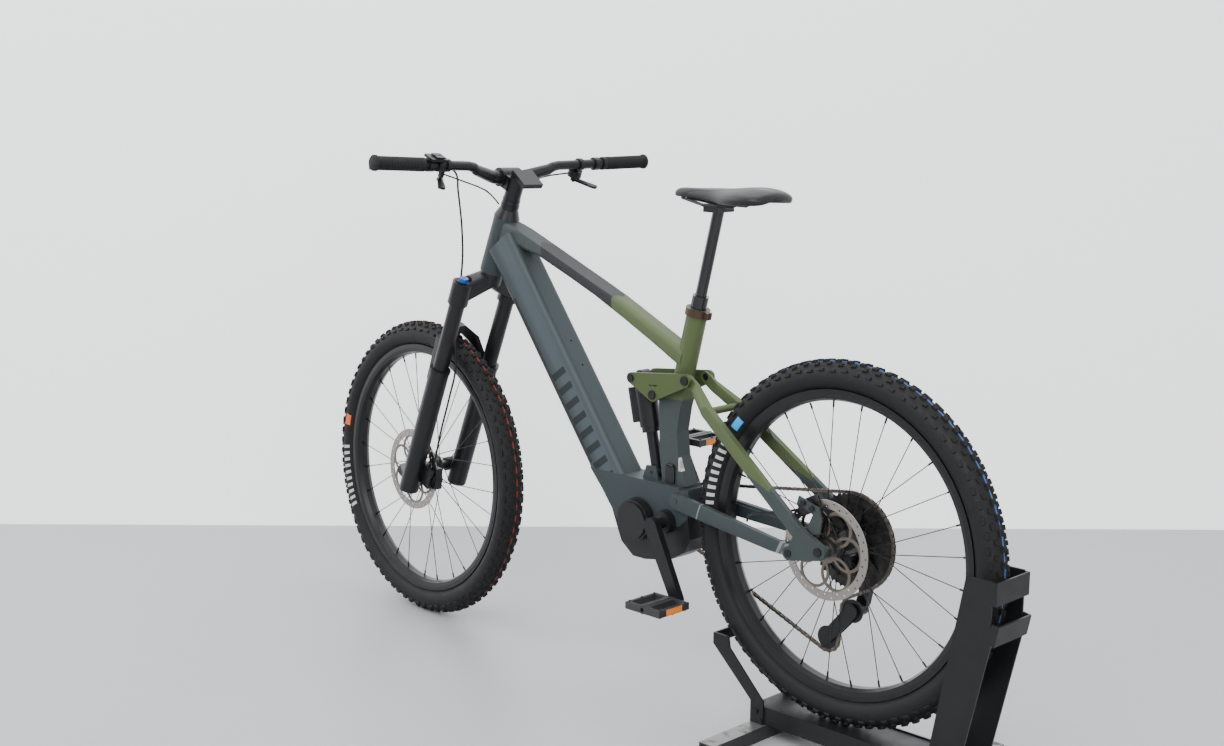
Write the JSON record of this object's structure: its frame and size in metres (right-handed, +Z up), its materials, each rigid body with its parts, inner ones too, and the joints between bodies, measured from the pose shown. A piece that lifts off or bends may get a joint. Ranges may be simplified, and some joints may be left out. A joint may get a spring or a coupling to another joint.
{
  "type": "electric mountain bicycle on a rear wheel stand",
  "caption": "Full-suspension electric mountain bicycle held upright by a low floor stand that clasps its rear wheel.",
  "frame": {"origin": "middle of the underside of the stand's front cross rail, on the floor", "axes": "+X forward along the bicycle, +Y to its left, +Z up"},
  "size_m": [2.0767, 0.7972, 1.1832],
  "materials": {
    "stand_steel": "black powder coat, worn where it is stepped on",
    "frame_petrol": "gloss metallic grey green",
    "frame_anthracite": "gloss anthracite, olive green towards the seat",
    "frame_olive": "gloss olive green",
    "motor_housing": "fine textured black",
    "clamp_bronze": "anodised bronze",
    "plastic_black": "matt black",
    "battery_case": "matt black",
    "metal_black": "black anodised or painted",
    "spoke_steel": "black steel",
    "saddle_cover": "black synthetic leather",
    "tyre_rubber": "black rubber",
    "rubber_black": "matt black",
    "chain_steel": "oiled steel",
    "pedal_black": "black"
  },
  "bodies": {
    "stand": {"stand_rails": "stand_steel", "stand_frame": "stand_steel"},
    "frame": {"head_tube": "frame_petrol", "down_tube": "frame_petrol", "top_tube": "frame_anthracite", "seat_tube": "frame_olive", "motor_shell": "frame_petrol", "motor": "motor_housing", "motor_covers": "motor_housing", "seat_clamp": "clamp_bronze", "post_outer": "metal_black", "chain": "chain_steel"},
    "battery_pack": {"battery": "battery_case", "battery_cover": "plastic_black"},
    "port_flap": {"port_flap": "plastic_black"},
    "seat_post": {"post_inner": "metal_black", "saddle_rails": "metal_black", "saddle": "saddle_cover"},
    "rocker": {"rocker_link": "frame_olive", "rocker_bolts": "metal_black"},
    "shock_lower": {"shock_shaft": "metal_black"},
    "shock_upper": {"shock_can": "metal_black"},
    "chainstays": {"chainstays": "frame_petrol"},
    "seatstays": {"seatstays": "frame_olive", "rear_axle": "metal_black", "rear_caliper": "metal_black", "derailleur": "metal_black", "hose_rear": "rubber_black"},
    "rear_wheel": {"rear_tyre": "tyre_rubber", "rear_rim": "metal_black", "rear_spokes": "spoke_steel", "rear_hub": "metal_black"},
    "cassette": {"cassette": "metal_black"},
    "cage": {"derailleur_cage": "metal_black"},
    "guide_wheel_upper": {"jockey_upper": "pedal_black"},
    "guide_wheel_lower": {"jockey_lower": "pedal_black"},
    "cranks": {"cranks": "metal_black", "chainring": "metal_black"},
    "pedal_left": {"pedal_left": "pedal_black"},
    "pedal_right": {"pedal_right": "pedal_black"},
    "steering": {"crown": "metal_black", "stanchions": "metal_black", "stem": "metal_black", "handlebar": "metal_black", "grips": "rubber_black", "controls": "plastic_black", "cables": "rubber_black", "hose_front": "rubber_black"},
    "fork_lowers": {"fork_lowers": "metal_black", "front_caliper": "metal_black"},
    "front_wheel": {"front_tyre": "tyre_rubber", "front_rim": "metal_black", "front_spokes": "spoke_steel", "front_hub": "metal_black"},
    "brake_lever_left": {"brake_lever_left": "metal_black"},
    "brake_lever_right": {"brake_lever_right": "metal_black"},
    "post_lever": {"post_lever": "metal_black"},
    "shift_paddle": {"shift_paddle": "metal_black"},
    "remote_button": {"remote_button": "plastic_black"}
  },
  "joints": [
    {"name": "bicycle_lift", "type": "slide", "parent": "stand", "child": "frame", "axis": [0, 0, 1], "range_m": [0, 0.3]},
    {"name": "battery_out", "type": "slide", "parent": "frame", "child": "battery_pack", "axis": [0.8039, 0, -0.5948], "range_m": [0, 0.07]},
    {"name": "port_flap_hinge", "type": "hinge", "parent": "frame", "child": "port_flap", "pos_m": [0.286, 0.0228, 0.527], "axis": [1, 0, 0], "range_deg": [0, 95]},
    {"name": "seat_post_slide", "type": "slide", "parent": "frame", "child": "seat_post", "axis": [-0.2419, 0, 0.9703], "range_m": [-0.165, 0], "stiffness_N_per_m": 60, "springref_m": 0.8},
    {"name": "chainstay_pivot", "type": "hinge", "parent": "frame", "child": "chainstays", "pos_m": [0.248, 0, 0.457], "axis": [0, 1, 0], "range_deg": [0, 16.02], "stiffness_Nm_per_rad": 300, "springref_deg": -14.32, "deforming": ["chain", "hose_rear"]},
    {"name": "rocker_pivot", "type": "hinge", "parent": "frame", "child": "rocker", "pos_m": [0.324, 0, 0.678], "axis": [0, 1, 0], "range_deg": [0, 35.02]},
    {"name": "horst_pivot", "type": "hinge", "parent": "chainstays", "child": "seatstays", "pos_m": [-0.091, 0, 0.421], "axis": [0, 1, 0], "range_deg": [-8.07, 0]},
    {"name": "shock_foot_pivot", "type": "hinge", "parent": "frame", "child": "shock_lower", "pos_m": [0.343, 0, 0.5], "axis": [0, 1, 0], "range_deg": [0, 5.09]},
    {"name": "shock_travel", "type": "slide", "parent": "shock_lower", "child": "shock_upper", "axis": [0.2147, 0, 0.9767], "range_m": [-0.0389, 0]},
    {"name": "rear_wheel_spin", "type": "hinge", "parent": "seatstays", "child": "rear_wheel", "pos_m": [-0.165, 0, 0.438], "axis": [0, 1, 0], "continuous": true},
    {"name": "cassette_spin", "type": "hinge", "parent": "seatstays", "child": "cassette", "pos_m": [-0.165, 0, 0.438], "axis": [0, 1, 0], "continuous": true},
    {"name": "cage_swing", "type": "hinge", "parent": "seatstays", "child": "cage", "pos_m": [-0.173, -0.028, 0.29494], "axis": [0, 1, 0], "range_deg": [0, 55], "stiffness_Nm_per_rad": 0.6},
    {"name": "guide_upper_spin", "type": "hinge", "parent": "cage", "child": "guide_wheel_upper", "pos_m": [-0.173, -0.028, 0.29494], "axis": [0, 1, 0], "continuous": true},
    {"name": "guide_lower_spin", "type": "hinge", "parent": "cage", "child": "guide_wheel_lower", "pos_m": [-0.111, -0.028, 0.22494], "axis": [0, 1, 0], "continuous": true},
    {"name": "crank_spin", "type": "hinge", "parent": "frame", "child": "cranks", "pos_m": [0.282, 0, 0.404], "axis": [0, 1, 0], "continuous": true},
    {"name": "pedal_left_spin", "type": "hinge", "parent": "cranks", "child": "pedal_left", "pos_m": [0.20709, 0.14, 0.25698], "axis": [0, 1, 0], "continuous": true},
    {"name": "pedal_right_spin", "type": "hinge", "parent": "cranks", "child": "pedal_right", "pos_m": [0.35691, -0.14, 0.55102], "axis": [0, 1, 0], "continuous": true},
    {"name": "steering", "type": "hinge", "parent": "frame", "child": "steering", "pos_m": [0.888, 0, 0.8952], "axis": [-0.3746, 0, 0.9272], "range_deg": [-60, 60]},
    {"name": "fork_travel", "type": "slide", "parent": "steering", "child": "fork_lowers", "axis": [-0.3746, 0, 0.9272], "range_m": [0, 0.155], "stiffness_N_per_m": 1500, "springref_m": -0.08, "deforming": ["hose_front"]},
    {"name": "front_wheel_spin", "type": "hinge", "parent": "fork_lowers", "child": "front_wheel", "pos_m": [1.14672, -0.00307, 0.37202], "axis": [0.0647, 0.9976, 0.0261], "continuous": true},
    {"name": "brake_lever_left", "type": "hinge", "parent": "steering", "child": "brake_lever_left", "pos_m": [0.86396, 0.23057, 1.14779], "axis": [0.1721, -0.062, 0.9831], "range_deg": [0, 13], "stiffness_Nm_per_rad": 1.5, "springref_deg": -2.86},
    {"name": "brake_lever_right", "type": "hinge", "parent": "steering", "child": "brake_lever_right", "pos_m": [0.83355, -0.23839, 1.13551], "axis": [-0.1753, 0.012, -0.9844], "range_deg": [0, 13], "stiffness_Nm_per_rad": 1.5, "springref_deg": -2.86},
    {"name": "post_lever_pivot", "type": "hinge", "parent": "steering", "child": "post_lever", "pos_m": [0.84161, 0.19553, 1.12102], "axis": [0.376, 0.0481, -0.9254], "range_deg": [0, 18], "stiffness_Nm_per_rad": 0.4, "springref_deg": -2.86},
    {"name": "shift_paddle_pivot", "type": "hinge", "parent": "steering", "child": "shift_paddle", "pos_m": [0.81922, -0.20079, 1.10772], "axis": [-0.3697, 0.0479, 0.9279], "range_deg": [0, 22], "stiffness_Nm_per_rad": 0.4, "springref_deg": -2.86},
    {"name": "remote_press", "type": "slide", "parent": "steering", "child": "remote_button", "axis": [0.376, 0.0481, -0.9254], "range_m": [0, 0.0006], "stiffness_N_per_m": 300, "springref_m": -0.0004}
  ],
  "couplings": [
    {"joint": "rocker_pivot", "follows": "chainstay_pivot", "ratio": 2.1858},
    {"joint": "horst_pivot", "follows": "chainstay_pivot", "ratio": -0.50273},
    {"joint": "shock_foot_pivot", "follows": "chainstay_pivot", "ratio": 0.31694},
    {"joint": "shock_travel", "follows": "chainstay_pivot", "m_per_rad": -0.13901},
    {"joint": "cassette_spin", "follows": "crank_spin", "ratio": 0.68}
  ]
}
